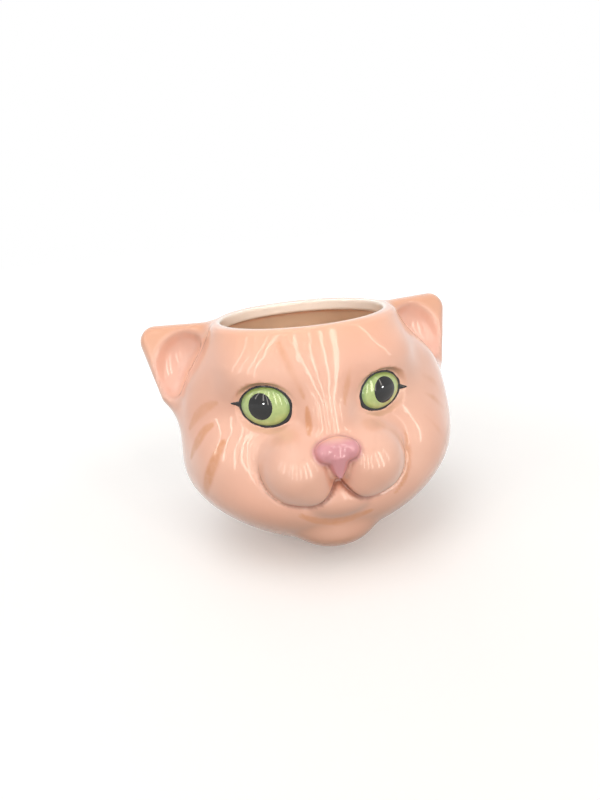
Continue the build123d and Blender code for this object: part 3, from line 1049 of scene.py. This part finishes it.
def makeFloor():
    # pale matt board that fades to plain white away from the planter
    bpy.ops.mesh.primitive_circle_add(vertices=64, radius=floorSettings["radius"], fill_type="NGON",
                                      location=(0, 0, -floorSettings["under"]))
    floor = bpy.context.object
    floor.name = "floor"
    material, tree, output = newMaterial("pale_board")
    place = addNode(tree, "ShaderNodeTexCoord")
    distance = addNode(tree, "ShaderNodeVectorMath", {0: place.outputs["Object"]}, operation="LENGTH").outputs["Value"]
    fade = ranged(tree, distance, floorSettings["near"], floorSettings["far"], 0, 1)
    # what it throws back up is kept low, so the underside stays in shade
    bounced = addNode(tree, "ShaderNodeLightPath").outputs["Is Diffuse Ray"]
    colour = mixColour(tree, bounced, linear(floorSettings["colour"]), linear(floorSettings["bounce"]))
    matt = addNode(tree, "ShaderNodeBsdfDiffuse", {"Color": colour})
    white = addNode(tree, "ShaderNodeEmission", {"Color": (1, 1, 1, 1), "Strength": 1.0})
    fade = timesFactor(tree, fade, straightRays(tree))
    both = addNode(tree, "ShaderNodeMixShader", {0: fade, 1: matt.outputs[0], 2: white.outputs[0]})
    # the board itself shows a little paler than it is lit
    lifted = addNode(tree, "ShaderNodeEmission", {"Color": (1, 1, 1, 1), "Strength": timesFactor(
        tree, straightRays(tree), floorSettings["lift"])})
    seen = addNode(tree, "ShaderNodeAddShader", {0: both.outputs[0], 1: lifted.outputs[0]})
    tree.links.new(seen.outputs[0], output.inputs["Surface"])
    floor.data.materials.append(material)


def lightOnly(lamp, pieceNames):
    lit = bpy.data.collections.new(lamp.name + "Lit")
    for pieceName in pieceNames:
        lit.objects.link(bpy.data.objects[pieceName])
    lamp.light_linking.receiver_collection = lit


def addPanel(name, place, aim, size, strength, colour="FFFFFF", shines=True):
    # a soft lamp; strength is its brightness as the eye sees it
    light = bpy.data.lights.new(name, "AREA")
    light.shape = "RECTANGLE"
    light.size, light.size_y = size
    light.energy = strength * math.pi * size[0] * size[1]
    light.color = linear(colour)[:3]
    lamp = bpy.data.objects.new(name, light)
    lamp.location = place
    lamp.rotation_euler = (Vector(aim) - Vector(place)).to_track_quat("-Z", "Y").to_euler()
    lamp.visible_camera, lamp.visible_glossy = False, shines
    bpy.context.scene.collection.objects.link(lamp)
    return lamp


lights = {
    # turn round the planter, width, height of the lower end
    "strips": ((-77.0, 0.11, 0.75), (-59.0, 0.11, 0.60), (-41.0, 0.11, 0.45), (-31.0, 0.11, 0.02), (-17.0, 0.11, 0.02),
               (-4.0, 0.11, 0.02), (16.0, 0.18, 0.02), (32.0, 0.26, 0.02), (56.0, 0.10, 0.35)),
    "stripReach": 2.2,
    "stripTop": 2.3,
    "stripStrength": 5.6,
    "stripColour": "FFF6EA",
    # turn and height of the spark's lamp
    "glints": {"rightPupil": (-41.0, 0.09), "leftPupil": (57.0, 0.09)},
    "glintReach": 0.6,
    "glintSize": (0.03, 0.03),
    "glintStrength": 60.0,
    "glintAim": (0, -0.03, 0.08),
    # soft panels that no reflection shows: place, size, strength
    "panels": {"overhead": ((-0.5, -0.3, 2.2), (1.5, 1.5), 1.7), "behind": ((-0.1, 1.9, 0.9), (1.6, 1.2), 1.0)},
    "panelAim": (0, 0, 0.05),
    "beamPlace": (-0.05, -0.45, 0.80),
    "beamAim": (0, 0.012, 0.105),
    "beamPower": 12.0,
    "beamSpread": 7.0,
    "beamSize": 0.03,
    # the sky's strength at the horizon and overhead
    "skyStrength": (0.18, 0.58),
}


def makeLights():
    # upright strips in front give the thin streaks on the forehead and cheeks
    for i, (turn, width, bottom) in enumerate(lights["strips"]):
        a, middle = math.radians(turn), 0.5 * (lights["stripTop"] + bottom)
        place = (lights["stripReach"] * math.sin(a), -lights["stripReach"] * math.cos(a), middle)
        size = (width, lights["stripTop"] - bottom)
        addPanel(f"strip{i}", place, (0, 0, middle), size, lights["stripStrength"], lights["stripColour"])
    # a small bright one for the spark in each pupil
    for pupilName, (turn, height) in lights["glints"].items():
        a = math.radians(turn)
        place = (lights["glintReach"] * math.sin(a), -lights["glintReach"] * math.cos(a), height)
        glint = addPanel(pupilName + "Glint", place, lights["glintAim"], lights["glintSize"], lights["glintStrength"])
        lightOnly(glint, [pupilName])
    for name, (place, size, strength) in lights["panels"].items():
        addPanel(name, place, lights["panelAim"], size, strength, shines=False)
    # a narrow soft beam down into the mouth
    beam = bpy.data.objects.new("mouthBeam", bpy.data.lights.new("mouthBeam", "SPOT"))
    beam.data.energy, beam.data.spot_size = lights["beamPower"], math.radians(lights["beamSpread"])
    beam.data.spot_blend, beam.data.shadow_soft_size = 1.0, lights["beamSize"]
    beam.location = lights["beamPlace"]
    beam.rotation_euler = (Vector(lights["beamAim"]) - beam.location).to_track_quat("-Z", "Y").to_euler()
    beam.visible_glossy = False
    bpy.context.scene.collection.objects.link(beam)
    lightOnly(beam, ["headShell"])
    world = bpy.data.worlds.new("studio")
    bpy.context.scene.world = world
    world.use_nodes = True
    tree = world.node_tree
    tree.nodes.clear()
    seenBy = straightRays(tree)
    # dimmer low down, so what faces the floor is in shade
    towards = addNode(tree, "ShaderNodeTexCoord").outputs["Generated"]
    height = addNode(tree, "ShaderNodeSeparateXYZ", {0: towards}).outputs["Z"]
    around = addNode(tree, "ShaderNodeBackground", {"Color": (1, 1, 1, 1), "Strength": ranged(
        tree, height, 0, 1, *lights["skyStrength"])})
    seen = addNode(tree, "ShaderNodeBackground", {"Color": (1, 1, 1, 1), "Strength": 1.0})
    both = addNode(tree, "ShaderNodeMixShader", {0: seenBy, 1: around.outputs[0], 2: seen.outputs[0]})
    addNode(tree, "ShaderNodeOutputWorld", {"Surface": both.outputs[0]})


def makeCamera():
    a, e, r = (math.radians(view[k]) for k in ("azimuth", "elevation", "roll"))
    back = Vector((math.sin(a) * math.cos(e), -math.cos(a) * math.cos(e), math.sin(e)))
    right = Vector((math.cos(a), math.sin(a), 0))
    up = back.cross(right)
    axisX = math.cos(r) * right + math.sin(r) * up
    axisY = -math.sin(r) * right + math.cos(r) * up
    camera = bpy.data.objects.new("camera", bpy.data.cameras.new("camera"))
    camera.data.lens, camera.data.sensor_width = view["lens"], view["film"]
    camera.data.sensor_fit = "AUTO"
    camera.data.clip_start = view["nearest"]
    place = Vector(view["place"]) * millimetre
    camera.matrix_world = Matrix.Translation(place) @ Matrix((axisX, axisY, back)).transposed().to_4x4()
    bpy.context.scene.collection.objects.link(camera)
    bpy.context.scene.camera = camera


makeFloor()
makeLights()
makeCamera()
bpy.context.scene.view_settings.view_transform = "Standard"
print("floor, lights and camera made")
